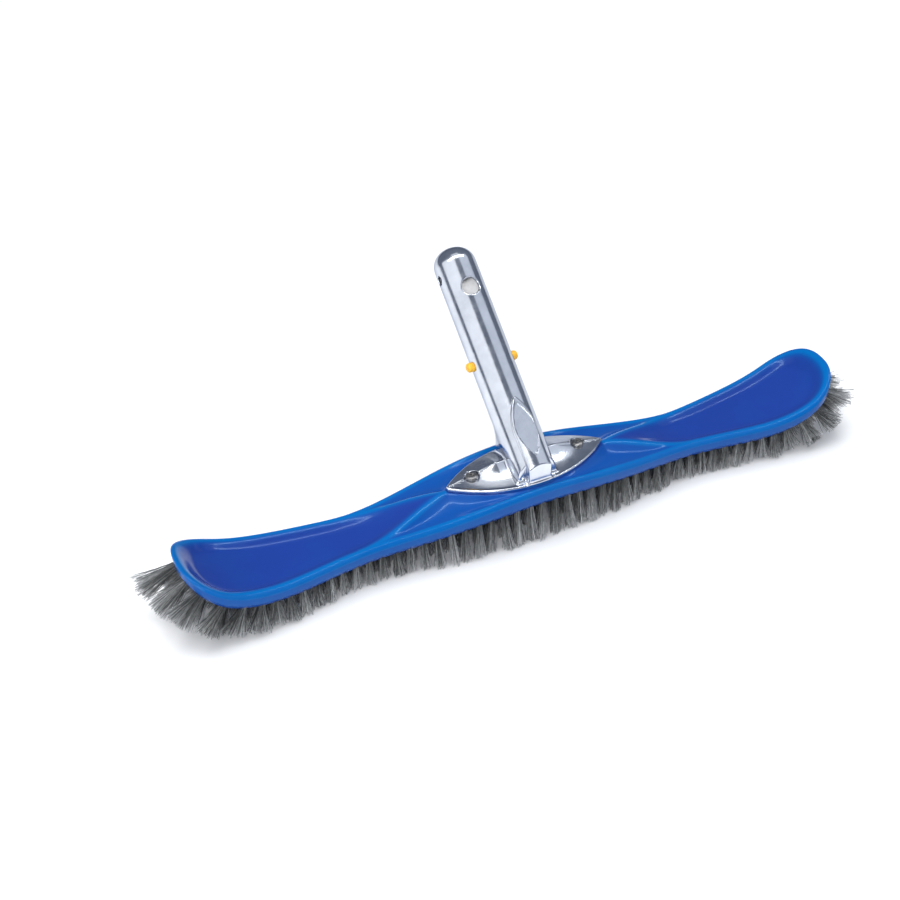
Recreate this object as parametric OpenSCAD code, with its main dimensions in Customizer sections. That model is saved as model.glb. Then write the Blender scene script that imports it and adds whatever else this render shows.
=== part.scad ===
// Pool wall brush: a fanned plastic back filled with stainless wire tufts, and a
// cast aluminium spigot handle with two sprung lock buttons for a telescopic pole.
// X runs along the brush, the handle leans back towards +Y, +Z is up.
// The origin is the centre of the scrubbing face, at the tips of the tufts.

/* [Brush back] */
// Length of the moulded back, end to end
back_len = 457; // [455:0.5:460]
// Half width of the back at the middle
mid_half_w = 28.5; // [27:0.5:30]
// Half width of the back at the two waists
waist_half_w = 20.2; // [19:0.1:22]
// Half width of the back at its ends
end_half_w = 29.8; // [28:0.1:31]
// Distance of each waist from the middle
waist_x = 115; // [112:1:120]
// Height of the back's lower edge above the tips, at the waists
edge_z = 21.4; // [20:0.1:24]
// How far the lower edge rises from the waists to the middle
arch_z = 9.6; // [7:0.1:10]
// How far the ends curl up above the waists
curl_z = 25.5; // [20:0.5:28]
// Depth of the dished end panels below their rims
dish_d = 3.6; // [2:0.1:3.8]
// Depth of the tuft block below the lower edge
block_d = 3; // [2:0.1:3.5]

/* [Tufts] */
// Spacing of the tufts along the middle of a row
tuft_pitch = 8.9; // [8.8:0.05:9]
// Spacing of the tufts in the end fans
fan_pitch = 11; // [10.9:0.05:11.1]
// Radius of a tuft where it leaves its hole
tuft_r = 1.8; // [1.4:0.1:1.8]
// Radius of a tuft at its tips, where the wires spread
tip_r = 2.9; // [2:0.1:3]
// Corner radius of the blind six-sided tuft holes
hole_r = 2.45; // [2.4:0.05:2.6]
// Longest free length of the fanned tufts at the ends
fan_len = 37; // [30:1:40]

/* [Handle casting] */
// Outer radius of the spigot
spigot_r = 14; // [13.8:0.05:14.2]
// Radius of the core hole inside the spigot
core_r = 11.3; // [10.8:0.1:11.6]
// Lean of the spigot from upright
lean = 51.2; // [49:0.1:53]
// Height of the spigot's axis above the tips, at the middle of the brush
axis_z = 53.5; // [53:0.1:54.5]
// Spigot length from that point to the closed tip
spigot_len = 139.5; // [135:0.5:145]
// Corner radius of the closed tip
tip_round = 12; // [6:0.5:13]
// Half length of the pointed flange
flange_l = 56.5; // [55:0.5:58]
// Half width of the pointed flange
flange_w = 22; // [21.5:0.1:22.5]
// Thickness of the flange's edge
flange_t = 2.6; // [2:0.1:3]
// Distance of each flange screw from the middle
screw_x = 38; // [37.5:0.1:38.5]

/* [Pole lock] */
// Distance of the lock buttons along the spigot's axis
button_s = 60.3; // [56:0.1:64]
// Radius of the lock buttons
button_r = 3.15; // [3:0.05:3.3]
// How far the buttons stand out of the spigot
button_out = 4; // [3:0.1:4.5]
// Radius of the cross hole near the tip
cross_r = 5.7; // [5:0.1:6]
// Distance of the cross hole along the spigot's axis
cross_s = 108.4; // [106:0.1:110]
// Radius of the side holes near the tip
side_r = 3.2; // [3:0.1:3.5]
// Distance of the side holes along the spigot's axis
side_s = 120.7; // [120.5:0.1:122]

/* [Hidden] */
$fn = 48;

half_l = back_len / 2;
end_rc = 28.9;          // length of the rounded end
end_n = 2.43;           // squareness of the rounded end
xe = half_l - end_rc;
crest_in = 3.3;         // inset of the rim's crest from the outline
roll_r = 3.5;           // radius of the rounded rim
seat_z = edge_z + 17.9; // flat under the flange
flange_top = seat_z + flange_t + 0.1;
ridge_z = 49.5;         // top of the flange's ridge beside the pedestal
vee_x = 56;             // where the two ridges leave the flange tip
vee_end = waist_x + 3;  // where they meet the outline's rim
fan_x = 190;            // tufts beyond this belong to the end fans

function clamp01(t) = min(1, max(0, t));
function ease(t) = let (c = clamp01(t)) c * c * (3 - 2 * c);
function bell(t) = 0.5 + 0.5 * cos(180 * clamp01(t));
function mix(a, b, t) = a + (b - a) * t;

// half width before the ends are rounded
function full_w(u) = u < waist_x
    ? waist_half_w + (mid_half_w - waist_half_w) * bell(pow(u / waist_x, 1.5))
    : end_half_w - (end_half_w - waist_half_w) * bell(pow(clamp01((u - waist_x) / 95), 0.8));
function end_k(u) = clamp01((u - xe) / end_rc);
// half width of the outline
function half_w(u) = full_w(u) * pow(max(0, 1 - pow(end_k(u), end_n)), 1 / end_n);
// inset of a point from the outline
function inset(u, a) = full_w(u)
    * (1 - pow(pow(end_k(u), end_n) + pow(min(1, a / full_w(u)), end_n), 1 / end_n));
// lower edge, rim crest, and the two ridges that run to the flange tips
function low_z(u) = edge_z + arch_z * bell(u / 128) + curl_z * pow(max(0, (u - 140) / (half_l - 140)), 3.4);
function crest_z(u) = low_z(u) + 8 + 1.8 * bell(u / 75);
function vee_t(u) = clamp01((u - vee_x) / (vee_end - vee_x));
function vee_y(u) = (full_w(vee_end) - crest_in) * (0.5 * vee_t(u) + 0.5 * sin(90 * vee_t(u)));
function vee_z(u) = mix(crest_z(vee_end), seat_z, bell(vee_t(u)));
function lens_y(u) = max(0, sqrt(pow(84, 2) - pow(min(u, vee_x), 2)) - 62.6) + 1;
function dish(u, gap) = dish_d * ease((u - vee_x) / (vee_end - vee_x + 6)) * ease(gap / 9);
function valley(u) = 1.0 + 2.0 * ease(u / 60) * (1 - ease((u - 75) / 45)) - 1.0 * ease((u - 60) / 55);

function top_z(u, a) = let (d = inset(u, a), w = half_w(u), ry = w - crest_in)
    d < crest_in ? crest_z(u) - roll_r + sqrt(max(0, pow(roll_r, 2) - pow(crest_in - d, 2)))
    : u >= vee_end ? crest_z(u) - dish(u, d - crest_in)
    : u < vee_x && a <= lens_y(u) ? seat_z
    : u >= vee_x && a <= vee_y(u) ? vee_z(u) - dish(u, vee_y(u) - a)
    : let (a0 = u < vee_x ? lens_y(u) : vee_y(u), z0 = u < vee_x ? seat_z : vee_z(u),
           t = clamp01((a - a0) / max(0.01, ry - a0)))
      mix(z0, crest_z(u), t) - valley(u) * sin(180 * t);
function bottom_z(u, a) = low_z(u) - block_d * ease((inset(u, a) - 1.2) / 1.1);

// grid stations along the length and across it
us = concat([for (i = [0:1:5]) i * vee_x / 5], [for (q = [0.16, 0.36, 0.6, 0.82]) mix(vee_x, vee_end, q)],
    [for (i = [0:1:4]) mix(vee_end, xe, i / 4)], [for (q = [21, 14, 9, 5.6, 3.3, 1.7, 0.5]) half_l - q]);
nu = len(us);
xs = concat([for (i = [nu - 1:-1:1]) -us[i]], us);
function across(u) = let (w = half_w(u), c = max(0.5, w - 8))
    [for (q = [-1, -0.66, -0.33, 0, 0.33, 0.66, 1]) c * q];
function rows_y(u) = let (w = half_w(u), m = across(u))
    concat([-w, -w + 0.05 * w, -w + 0.09 * w, -w + min(crest_in, 0.2 * w), -w + min(5.4, 0.4 * w)], m,
           [w - min(5.4, 0.4 * w), w - min(crest_in, 0.2 * w), w - 0.09 * w, w - 0.05 * w, w]);

module back_shell() {
    nc = len(xs);
    nr = len(rows_y(0));
    top = [for (x = xs) let (u = abs(x)) for (y = rows_y(u)) [x, y, top_z(u, abs(y))]];
    bot = [for (x = xs) let (u = abs(x)) for (y = rows_y(u)) [x, y, bottom_z(u, abs(y))]];
    n = nc * nr;
    faces = concat(
        [for (i = [0:nc - 2], j = [0:nr - 2]) let (a = i * nr + j, b = a + nr) each [[a, a + 1, b + 1], [a, b + 1, b]]],
        [for (i = [0:nc - 2], j = [0:nr - 2]) let (a = n + i * nr + j, b = a + nr) each [[a, b + 1, a + 1], [a, b, b + 1]]],
        [for (i = [0:nc - 2]) let (a = i * nr, b = a + nr) each [[a, b, n + b], [a, n + b, n + a]]],
        [for (i = [0:nc - 2]) let (a = i * nr + nr - 1, b = a + nr) each [[a, n + b, b], [a, n + a, n + b]]],
        [for (j = [0:nr - 2]) each [[j, n + j + 1, j + 1], [j, n + j, n + j + 1]]],
        [for (j = [0:nr - 2]) let (a = (nc - 1) * nr + j) each [[a, a + 1, n + a + 1], [a, n + a + 1, n + a]]]);
    polyhedron(points = concat(top, bot), faces = faces, convexity = 6);
}

// tuft roots: [x, y, lean along X, lean along Y]
row_f = [-1, -0.5, 0, 0.5, 1];
function root_y(u, r) = row_f[r] * (half_w(u) - 4.8 - 3.2 * ease((u - 205) / 15));
function lean_x(u) = 58 * pow(max(0, (u - 150) / 70), 2.1);
function lean_y(u, r) = row_f[r] * (6 + 14 * ease((u - 180) / 40));
function root_xs(r) = let (e = r % 2 == 0, f = [for (k = [18:20]) (e ? k : k - 0.5) * fan_pitch])
    concat([for (k = [2:-1:0]) -f[k]], e ? [for (i = [-21:21]) i * tuft_pitch] : [for (i = [-21:20]) (i + 0.5) * tuft_pitch], f);
function dir_of(x, r) = let (u = abs(x), q = [sign(x) * tan(lean_x(u)), tan(lean_y(u, r)), -1]) q / norm(q);
function root_z(u, r) = bottom_z(u, abs(root_y(u, r)));
function pick(r, side) = [for (x = root_xs(r)) if (side == 0 ? abs(x) < fan_x : side * x > fan_x) x];
function hole_d(u) = u > fan_x ? 4.2 : 5.4;
// share of the full length that each row keeps at the end fans, front row first
fan_trim = [0.7, 0.84, 0.88, 1, 1];
function free_len(x, r) = let (d = dir_of(x, r))
    min(fan_len, (root_z(abs(x), r) - tip_r * sqrt(1 - d.z * d.z)) / -d.z) * mix(1, fan_trim[r], ease((abs(x) - 192) / 17));

module along(p, d) translate(p) rotate([0, acos(d.z), atan2(d.y, d.x)]) children();

module tuft_holes() {
    for (r = [0:4], x = root_xs(r)) {
        u = abs(x);
        d = dir_of(x, r);
        p = [x, root_y(u, r), root_z(u, r)];
        along(p - d * hole_d(u), d) hull() cylinder(r = hole_r, h = hole_d(u) + 2.4, $fn = 6);
    }
}
module tufts(r, side) {
    for (x = pick(r, side)) {
        u = abs(x);
        d = dir_of(x, r);
        p = [x, root_y(u, r), root_z(u, r)];
        in_d = hole_d(u) - 1.3;
        len = free_len(x, r);
        along(p - d * in_d, d) rotate_extrude($fn = 24)
            polygon([[0, 0], [tuft_r, 0], [tuft_r, in_d + 1.5], [tip_r, in_d + len], [0, in_d + len]]);
    }
}
module staples(r, side) {
    for (x = pick(r, side)) {
        u = abs(x);
        d = dir_of(x, r);
        p = [x, root_y(u, r), root_z(u, r)];
        along(p - d * (hole_d(u) - 0.6), d) rotate([90, 0, 0]) cylinder(r = 0.35, h = 5.4, center = true, $fn = 16);
    }
}

module brush_back() color("#1f4fb5") difference() {
    back_shell();
    tuft_holes();
    for (s = [-1, 1]) translate([s * screw_x, 0, seat_z - 9.5]) hull() cylinder(r = 2.25, h = 12, $fn = 12);
}

module tufts_row_1() color("#8f9296") tufts(0, 0);
module tufts_row_2() color("#8f9296") tufts(1, 0);
module tufts_row_3() color("#8f9296") tufts(2, 0);
module tufts_row_4() color("#8f9296") tufts(3, 0);
module tufts_row_5() color("#8f9296") tufts(4, 0);
module tufts_left_fan() color("#85888c") for (r = [0:4]) tufts(r, -1);
module tufts_right_fan() color("#85888c") for (r = [0:4]) tufts(r, 1);
module staples_row_1() color("#c9c3ae") staples(0, 0);
module staples_row_2() color("#c9c3ae") staples(1, 0);
module staples_row_3() color("#c9c3ae") staples(2, 0);
module staples_row_4() color("#c9c3ae") staples(3, 0);
module staples_row_5() color("#c9c3ae") staples(4, 0);
module staples_left_fan() color("#c9c3ae") for (r = [0:4]) staples(r, -1);
module staples_right_fan() color("#c9c3ae") for (r = [0:4]) staples(r, 1);

// the spigot's own frame: local Z along its axis, local Y towards its underside
module on_spigot() translate([0, 0, axis_z]) rotate([-lean, 0, 0]) children();
module flange_lens(h, grow = 0) {
    big = (pow(flange_l, 2) + pow(flange_w, 2)) / (2 * flange_w);
    intersection() {
        translate([0, big - flange_w, 0]) cylinder(r = big + grow, h = h, $fn = 96);
        translate([0, -(big - flange_w), 0]) cylinder(r = big + grow, h = h, $fn = 96);
        translate([-flange_l + 1.2, -30, 0]) cube([2 * flange_l - 2.4, 60, h]);
    }
}
// pointed-oval prism, local Z, long axis on local Y
module leaf(half_len, half_wid, h) {
    big = (pow(half_len, 2) + pow(half_wid, 2)) / (2 * half_wid);
    linear_extrude(h) intersection() {
        translate([big - half_wid, 0]) circle(r = big, $fn = 96);
        translate([-(big - half_wid), 0]) circle(r = big, $fn = 96);
    }
}
module spigot_solid(z0) rotate_extrude() {
    translate([0, z0]) square([spigot_r, button_s - 6 - z0]);
    translate([0, button_s - 7]) square([spigot_r - relief, 14]);
    translate([0, button_s + 6]) square([spigot_r, spigot_len - tip_round - button_s - 6]);
    translate([0, spigot_len - tip_round - 1]) square([spigot_r - tip_round, tip_round + 1]);
    intersection() {
        translate([spigot_r - tip_round, spigot_len - tip_round]) circle(r = tip_round);
        translate([0, spigot_len - tip_round - 1]) square([spigot_r, tip_round + 1]);
    }
}
relief = 0.25;    // shallow band turned down around the lock buttons
foot_y = -21.4;   // front face of the foot
tube_y = -17;     // where the tube itself ends beside the foot
leaf_s = 9.5;     // middle of the leaf-shaped top of the tongue along the spigot
heel_y = 17;      // back face of the pedestal

module handle_casting() color("#c9ccd1") difference() {
    union() {
        // flange: flat edge, then slopes that rise to a ridge
        translate([0, 0, seat_z + 0.1]) flange_lens(flange_t);
        hull() {
            translate([0, 0, flange_top - 0.1]) flange_lens(0.1, -0.4);
            translate([-21, -0.9, ridge_z - 1]) cube([42, 1.8, 1]);
        }
        // upper spigot with its closed, rounded tip
        on_spigot() spigot_solid(4);
        // lower spigot, its raised tongue and the pedestal, inside the footprint of the foot
        intersection() {
            union() {
                intersection() {
                    on_spigot() translate([0, 0, -34]) cylinder(r = spigot_r, h = 40);
                    translate([-20, tube_y, 0]) cube([40, 120, 120]);
                }
                on_spigot() intersection() {
                    translate([0, 0, -34]) cylinder(r = spigot_r + 1, h = 75);
                    rotate([90, 0, 0]) union() {
                        translate([0, leaf_s, 0]) leaf(22, 8, 20);
                        translate([-8, -34, 0]) cube([16, 34 + leaf_s, 20]);
                    }
                }
                intersection() {
                    translate([-13, foot_y, seat_z + 1]) cube([26, heel_y - foot_y, 40]);
                    on_spigot() translate([-20, 0, -60]) cube([40, 60, 120]);
                }
            }
            translate([-20, foot_y, seat_z + 0.1]) cube([40, 120, 80]);
        }
    }
    // shallow leaf-shaped inset in the tongue
    on_spigot() difference() {
        rotate([90, 0, 0]) translate([0, leaf_s, 10]) leaf(17.8, 6.6, 10);
        translate([0, 0, -40]) cylinder(r = spigot_r + 0.2, h = 90);
    }
    // core hole, and the pocket that opens it to the underside
    on_spigot() translate([0, 0, -5]) cylinder(r = core_r, h = spigot_len + 5 - 7);
    translate([0, -2, seat_z - 1]) cylinder(r = 9, h = 17);
    // pole-lock holes, cross hole and side holes
    on_spigot() translate([0, 0, button_s]) rotate([0, 90, 0]) cylinder(r = button_r + 0.08, h = 60, center = true);
    on_spigot() translate([0, 0, cross_s]) rotate([90, 0, 0]) cylinder(r = cross_r, h = 60, center = true);
    on_spigot() translate([0, 0, side_s]) rotate([0, 90, 0]) cylinder(r = side_r, h = 60, center = true);
    // screw holes with spot faces for the heads
    for (s = [-1, 1]) translate([s * screw_x, 0, 0]) {
        translate([0, 0, seat_z - 1]) cylinder(r = 2.4, h = 12);
        translate([0, 0, seat_z + 4.6]) cylinder(r = 4.7, h = 12);
    }
}

// pan-head screw with a cross recess
module screw() color("#9a9da1") difference() {
    union() {
        translate([0, 0, seat_z - 8]) cylinder(r1 = 0.8, r2 = 2.0, h = 3);
        translate([0, 0, seat_z - 5]) cylinder(r = 2.0, h = 9.8);
        translate([0, 0, seat_z + 4.7]) cylinder(r = 3.9, h = 1.4);
        translate([0, 0, seat_z + 6.1]) cylinder(r1 = 3.9, r2 = 2.9, h = 0.8);
    }
    for (a = [0, 90]) translate([0, 0, seat_z + 6.3]) rotate([0, 0, a]) cube([4.2, 0.9, 2.6], center = true);
}
module screw_left() translate([-screw_x, 0, 0]) screw();
module screw_right() translate([screw_x, 0, 0]) screw();

// V spring: a strip folded into a narrow V, one leg riveted to each button
leg_x = 6.4;      // leg's middle at the buttons
bend_s = 24;      // centre of the fold along the spigot
bend_r = 2.6;     // middle radius of the fold
strip_t = 0.8;    // thickness of the strip
leg_a = atan((leg_x - bend_r) / (button_s - bend_s));
leg_l = (button_s - bend_s) / cos(leg_a) + 7;
function strip_side(o) = let (r = bend_r + o)
    concat([[r * cos(leg_a) + leg_l * sin(leg_a), bend_s + leg_l * cos(leg_a) - r * sin(leg_a)]],
           [for (a = [-leg_a:-(180 - 2 * leg_a) / 16:-(180 - leg_a) - 0.01]) [r * cos(a), bend_s + r * sin(a)]],
           [[-(r * cos(leg_a) + leg_l * sin(leg_a)), bend_s + leg_l * cos(leg_a) - r * sin(leg_a)]]);
module strip_2d() {
    outer = strip_side(strip_t / 2);
    inner = strip_side(-strip_t / 2);
    polygon(concat(outer, [for (i = [len(inner) - 1:-1:0]) inner[i]]));
}
module v_spring() color("#b9bcc0") on_spigot() difference() {
    rotate([90, 0, 0]) linear_extrude(7, center = true) strip_2d();
    translate([0, 0, button_s]) rotate([0, 90, 0]) cylinder(r = 1.6, h = 30, center = true);
}
// lock button: domed pin, inner shoulder, and a rivet tail through the spring leg
module button() {
    tip = spigot_r + button_out;
    cylinder(r = button_r, h = tip - 2.2);
    translate([0, 0, tip - 2.2]) rotate_extrude() intersection() {
        translate([button_r - 2.2, 0]) circle(r = 2.2);
        square([button_r, 2.2]);
    }
    cylinder(r = button_r - 2.2, h = tip);
}
module lock_button(s) on_spigot() translate([0, 0, button_s]) rotate([0, 90 * s, 0]) difference() {
    union() {
        difference() {
            button();
            cylinder(r = 10, h = 7.4);
        }
        translate([0, 0, 7.4]) cylinder(r = 4.4, h = 2.7);
        translate([0, 0, 5.0]) cylinder(r = 1.3, h = 3);
        translate([0, 0, 4.8]) cylinder(r = 2.1, h = 0.6);
    }
}
module lock_button_left() color("#ffc53a") lock_button(-1);
module lock_button_right() color("#ffc53a") lock_button(1);

brush_back();
tufts_row_1();
tufts_row_2();
tufts_row_3();
tufts_row_4();
tufts_row_5();
tufts_left_fan();
tufts_right_fan();
staples_row_1();
staples_row_2();
staples_row_3();
staples_row_4();
staples_row_5();
staples_left_fan();
staples_right_fan();
handle_casting();
screw_left();
screw_right();
v_spring();
lock_button_left();
lock_button_right();
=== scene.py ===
import bpy, bmesh, math
import numpy as np
from mathutils import Matrix, Vector, geometry as mgeo


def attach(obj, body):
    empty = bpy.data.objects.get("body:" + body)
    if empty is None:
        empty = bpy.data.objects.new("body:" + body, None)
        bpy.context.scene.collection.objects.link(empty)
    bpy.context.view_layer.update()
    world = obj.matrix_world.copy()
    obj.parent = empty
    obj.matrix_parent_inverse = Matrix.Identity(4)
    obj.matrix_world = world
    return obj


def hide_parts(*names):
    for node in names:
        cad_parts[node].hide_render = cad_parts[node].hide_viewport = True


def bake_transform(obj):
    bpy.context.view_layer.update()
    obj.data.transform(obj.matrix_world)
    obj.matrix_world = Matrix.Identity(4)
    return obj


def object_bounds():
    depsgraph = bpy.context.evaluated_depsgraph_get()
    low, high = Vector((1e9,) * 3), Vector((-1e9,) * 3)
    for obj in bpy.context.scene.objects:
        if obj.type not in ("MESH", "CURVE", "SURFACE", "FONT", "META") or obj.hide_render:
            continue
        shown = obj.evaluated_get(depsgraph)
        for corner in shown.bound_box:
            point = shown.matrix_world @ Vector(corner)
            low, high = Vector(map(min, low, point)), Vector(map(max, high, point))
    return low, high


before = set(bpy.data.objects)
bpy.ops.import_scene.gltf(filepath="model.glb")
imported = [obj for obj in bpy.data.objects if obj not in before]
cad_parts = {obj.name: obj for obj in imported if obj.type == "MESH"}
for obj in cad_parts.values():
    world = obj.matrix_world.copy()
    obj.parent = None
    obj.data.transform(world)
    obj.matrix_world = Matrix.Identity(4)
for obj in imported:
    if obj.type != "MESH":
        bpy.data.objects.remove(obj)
cad_lo, cad_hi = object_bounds()
MM = 0.001

# ------------------------------------------------------------------ helpers
def mesh_object(name, verts, faces, smooth=True):
    """verts in millimetres (n,3); faces an int array (m,4), with a repeated last index for a triangle."""
    v = np.asarray(verts, float) * MM
    f = np.asarray(faces, np.int64)
    me = bpy.data.meshes.new(name)
    tri = (f[:, 3] == f[:, 2]) if f.shape[1] == 4 else np.ones(len(f), bool)
    if f.shape[1] == 3:
        loops = f.ravel()
        starts = np.arange(len(f)) * 3
        totals = np.full(len(f), 3)
    else:
        totals = np.where(tri, 3, 4)
        keep = np.ones(f.shape, bool)
        keep[tri, 3] = False
        loops = f[keep]
        starts = np.concatenate([[0], np.cumsum(totals)[:-1]])
    me.vertices.add(len(v))
    me.vertices.foreach_set("co", v.astype(np.float32).ravel())
    me.loops.add(len(loops))
    me.loops.foreach_set("vertex_index", loops.astype(np.int32))
    me.polygons.add(len(f))
    me.polygons.foreach_set("loop_start", starts.astype(np.int32))
    me.update(calc_edges=True)
    me.validate()
    if smooth:
        me.polygons.foreach_set("use_smooth", np.ones(len(me.polygons), bool))
    o = bpy.data.objects.new(name, me)
    bpy.context.scene.collection.objects.link(o)
    return o

def clean(o, dist=1e-6):
    bm = bmesh.new()
    bm.from_mesh(o.data)
    bmesh.ops.remove_doubles(bm, verts=bm.verts, dist=dist)
    bmesh.ops.dissolve_degenerate(bm, edges=bm.edges, dist=dist / 2)
    bmesh.ops.recalc_face_normals(bm, faces=bm.faces)
    bm.to_mesh(o.data)
    bm.free()
    o.data.polygons.foreach_set("use_smooth", np.ones(len(o.data.polygons), bool))
    o.data.update()

def point_attr(o, name, values):
    a = o.data.attributes.new(name, "FLOAT", "POINT")
    a.data.foreach_set("value", np.asarray(values, np.float32))

def grid_faces(nr, nc, close_c=False, flip=False):
    i, j = np.meshgrid(np.arange(nr - 1), np.arange(nc if close_c else nc - 1), indexing="ij")
    j2 = (j + 1) % nc
    q = np.stack([i * nc + j, i * nc + j2, (i + 1) * nc + j2, (i + 1) * nc + j], -1).reshape(-1, 4)
    return q[:, ::-1] if flip else q

# ------------------------------------------------------------------ shape of the back
BACK_LEN, MID_W, WAIST_W, END_W, WAIST_X = 457.0, 28.5, 20.2, 29.8, 115.0
EDGE_Z, ARCH_Z, CURL_Z, DISH_D, BLOCK_D = 21.4, 9.6, 25.5, 3.6, 3.0
HALF_L = BACK_LEN / 2
END_RC, END_N = 28.9, 2.43
XE = HALF_L - END_RC
CREST_IN, ROLL_R = 3.3, 3.5
SEAT_Z = EDGE_Z + 17.9
VEE_X, VEE_END = 56.0, WAIST_X + 3

def c01(t): return np.clip(t, 0.0, 1.0)
def ease(t):
    c = c01(t)
    return c * c * (3 - 2 * c)
def bell(t): return 0.5 + 0.5 * np.cos(np.pi * c01(t))
def mix(a, b, t): return a + (b - a) * t
def full_w(u):
    u = np.asarray(u, float)
    return np.where(u < WAIST_X, WAIST_W + (MID_W - WAIST_W) * bell((np.maximum(u, 0) / WAIST_X) ** 1.5),
                    END_W - (END_W - WAIST_W) * bell(c01((u - WAIST_X) / 95) ** 0.8))
def end_k(u): return c01((u - XE) / END_RC)
def half_w(u): return full_w(u) * np.maximum(0, 1 - end_k(u) ** END_N) ** (1 / END_N)
def inset(u, a):
    w = full_w(u)
    return w * (1 - (end_k(u) ** END_N + np.minimum(1, a / w) ** END_N) ** (1 / END_N))
def low_z(u): return EDGE_Z + ARCH_Z * bell(u / 128) + CURL_Z * np.maximum(0, (u - 140) / (HALF_L - 140)) ** 3.4
def crest_z(u): return low_z(u) + 8 + 1.8 * bell(u / 75)
def vee_t(u): return c01((u - VEE_X) / (VEE_END - VEE_X))
W_VEE = float(full_w(VEE_END)) - CREST_IN
def vee_y(u): return W_VEE * (0.5 * vee_t(u) + 0.5 * np.sin(np.pi / 2 * vee_t(u)))
Z_VEE = float(crest_z(np.array(VEE_END)))
def vee_z(u): return mix(Z_VEE, SEAT_Z, bell(vee_t(u)))
def lens_y(u): return np.maximum(0, np.sqrt(84.0 ** 2 - np.minimum(u, VEE_X) ** 2) - 62.6) + 1
def dish(u, gap): return DISH_D * ease((u - VEE_X) / (VEE_END - VEE_X + 6)) * ease(gap / 9)
def valley(u): return 1.0 + 2.0 * ease(u / 60) * (1 - ease((u - 75) / 45)) - 1.0 * ease((u - 60) / 55)
def top_z(u, a):
    d = inset(u, a)
    w = half_w(u)
    ry = w - CREST_IN
    roll = crest_z(u) - ROLL_R + np.sqrt(np.maximum(0, ROLL_R ** 2 - np.maximum(0, CREST_IN - d) ** 2))
    a0 = np.where(u < VEE_X, lens_y(u), vee_y(u))
    z0 = np.where(u < VEE_X, SEAT_Z, vee_z(u))
    t = c01((a - a0) / np.maximum(0.01, ry - a0))
    slope = mix(z0, crest_z(u), t) - valley(u) * np.sin(np.pi * t)
    return np.where(d < CREST_IN, roll,
           np.where(u >= VEE_END, crest_z(u) - dish(u, d - CREST_IN),
           np.where((u < VEE_X) & (a <= lens_y(u)), SEAT_Z,
           np.where((u >= VEE_X) & (a <= vee_y(u)), vee_z(u) - dish(u, vee_y(u) - a), slope))))
def bottom_z(u, a): return low_z(u) - BLOCK_D * ease((inset(u, a) - 1.2) / 1.1)

def soft_top(x, y, d, rad):
    """top_z with its creases rounded by a small disc, away from the rim's outer roll."""
    u, a = np.abs(x), np.abs(y)
    z = top_z(u, a)
    acc, wsum = z * 1.0, 1.0
    for rr, n, w in ((0.5, 6, 1.0), (1.0, 10, 0.9)):
        for k in range(n):
            th = 2 * np.pi * (k + 0.5 * (rr == 1.0)) / n
            xx, yy = x + rad * rr * np.cos(th), y + rad * rr * np.sin(th)
            acc = acc + w * top_z(np.abs(xx), np.abs(yy))
            wsum += w
    k = ease((d - 2.0) / 1.6)
    return mix(z, acc / wsum, k)

NM = 460          # stations along the straight part
NC = 60            # stations round a quarter of each end
xm = np.linspace(-XE, XE, NM)
th = np.linspace(0, np.pi / 2, NC)  # 0 at the end, 90 degrees where the end meets the sides
ck, sk = np.cos(th) ** (2 / END_N), np.sin(th) ** (2 / END_N)
W_END = float(full_w(np.array(XE)))

def ring(rho_mid, rho_end):
    """closed loop: +y side from -x to +x, right end, -y side back, left end. rho is 1 on the outline and 0 on the centre line."""
    px = [xm]; py = [rho_mid * full_w(np.abs(xm))]
    kx, ky = ck[::-1][1:-1], sk[::-1][1:-1]         # from the side to near the tip
    px.append(XE + END_RC * rho_end * kx); py.append(rho_end * W_END * ky)
    px.append(np.array([XE + END_RC * rho_end])); py.append(np.array([0.0]))
    px.append(XE + END_RC * rho_end * kx[::-1]); py.append(-rho_end * W_END * ky[::-1])
    px.append(xm[::-1]); py.append(-(rho_mid * full_w(np.abs(xm)))[::-1])
    px.append(-(XE + END_RC * rho_end * kx)); py.append(-rho_end * W_END * ky)
    px.append(np.array([-(XE + END_RC * rho_end)])); py.append(np.array([0.0]))
    px.append(-(XE + END_RC * rho_end * kx[::-1])); py.append(rho_end * W_END * ky[::-1])
    return np.concatenate(px), np.concatenate(py)
def ring_at(d): return ring(1 - d / full_w(np.abs(xm)), 1 - d / W_END)

# ------------------------------------------------------------------ tuft roots
PITCH, FAN_PITCH = 8.9, 11.0
ROW_F = [-1, -0.5, 0, 0.5, 1]
FAN_X, FAN_LEN, TIP_R = 190.0, 37.0, 2.9
def root_y(u, r): return ROW_F[r] * (half_w(u) - 4.8 - 3.2 * ease((u - 205) / 15))
def lean_x(u): return 58 * max(0, (u - 150) / 70) ** 2.1
def lean_y(u, r): return ROW_F[r] * (6 + 14 * float(ease((u - 180) / 40)))
def root_xs(r):
    f = [(k if r % 2 == 0 else k - 0.5) * FAN_PITCH for k in (18, 19, 20)]
    m = [i * PITCH for i in range(-21, 22)] if r % 2 == 0 else [(i + 0.5) * PITCH for i in range(-21, 21)]
    return [-q for q in reversed(f)] + m + f
roots = []      # (row, x, y, z, direction, free length)
for r in range(5):
    for x in root_xs(r):
        u = abs(x)
        y = float(root_y(np.array(u), r))
        z = float(low_z(np.array(u))) - BLOCK_D
        dv = np.array([math.copysign(1, x) * math.tan(math.radians(lean_x(u))) if x else 0.0, math.tan(math.radians(lean_y(u, r))), -1.0])
        dv /= np.linalg.norm(dv)
        zb = float(bottom_z(np.array(u), np.array(abs(y))))
        fl = min(FAN_LEN, (zb - TIP_R * math.sqrt(1 - dv[2] ** 2)) / -dv[2])
        fl *= mix(1, (0.7, 0.84, 0.88, 1, 1)[r], float(ease((u - 192) / 17)))
        roots.append((r, x, y, zb, dv, fl))

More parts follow.
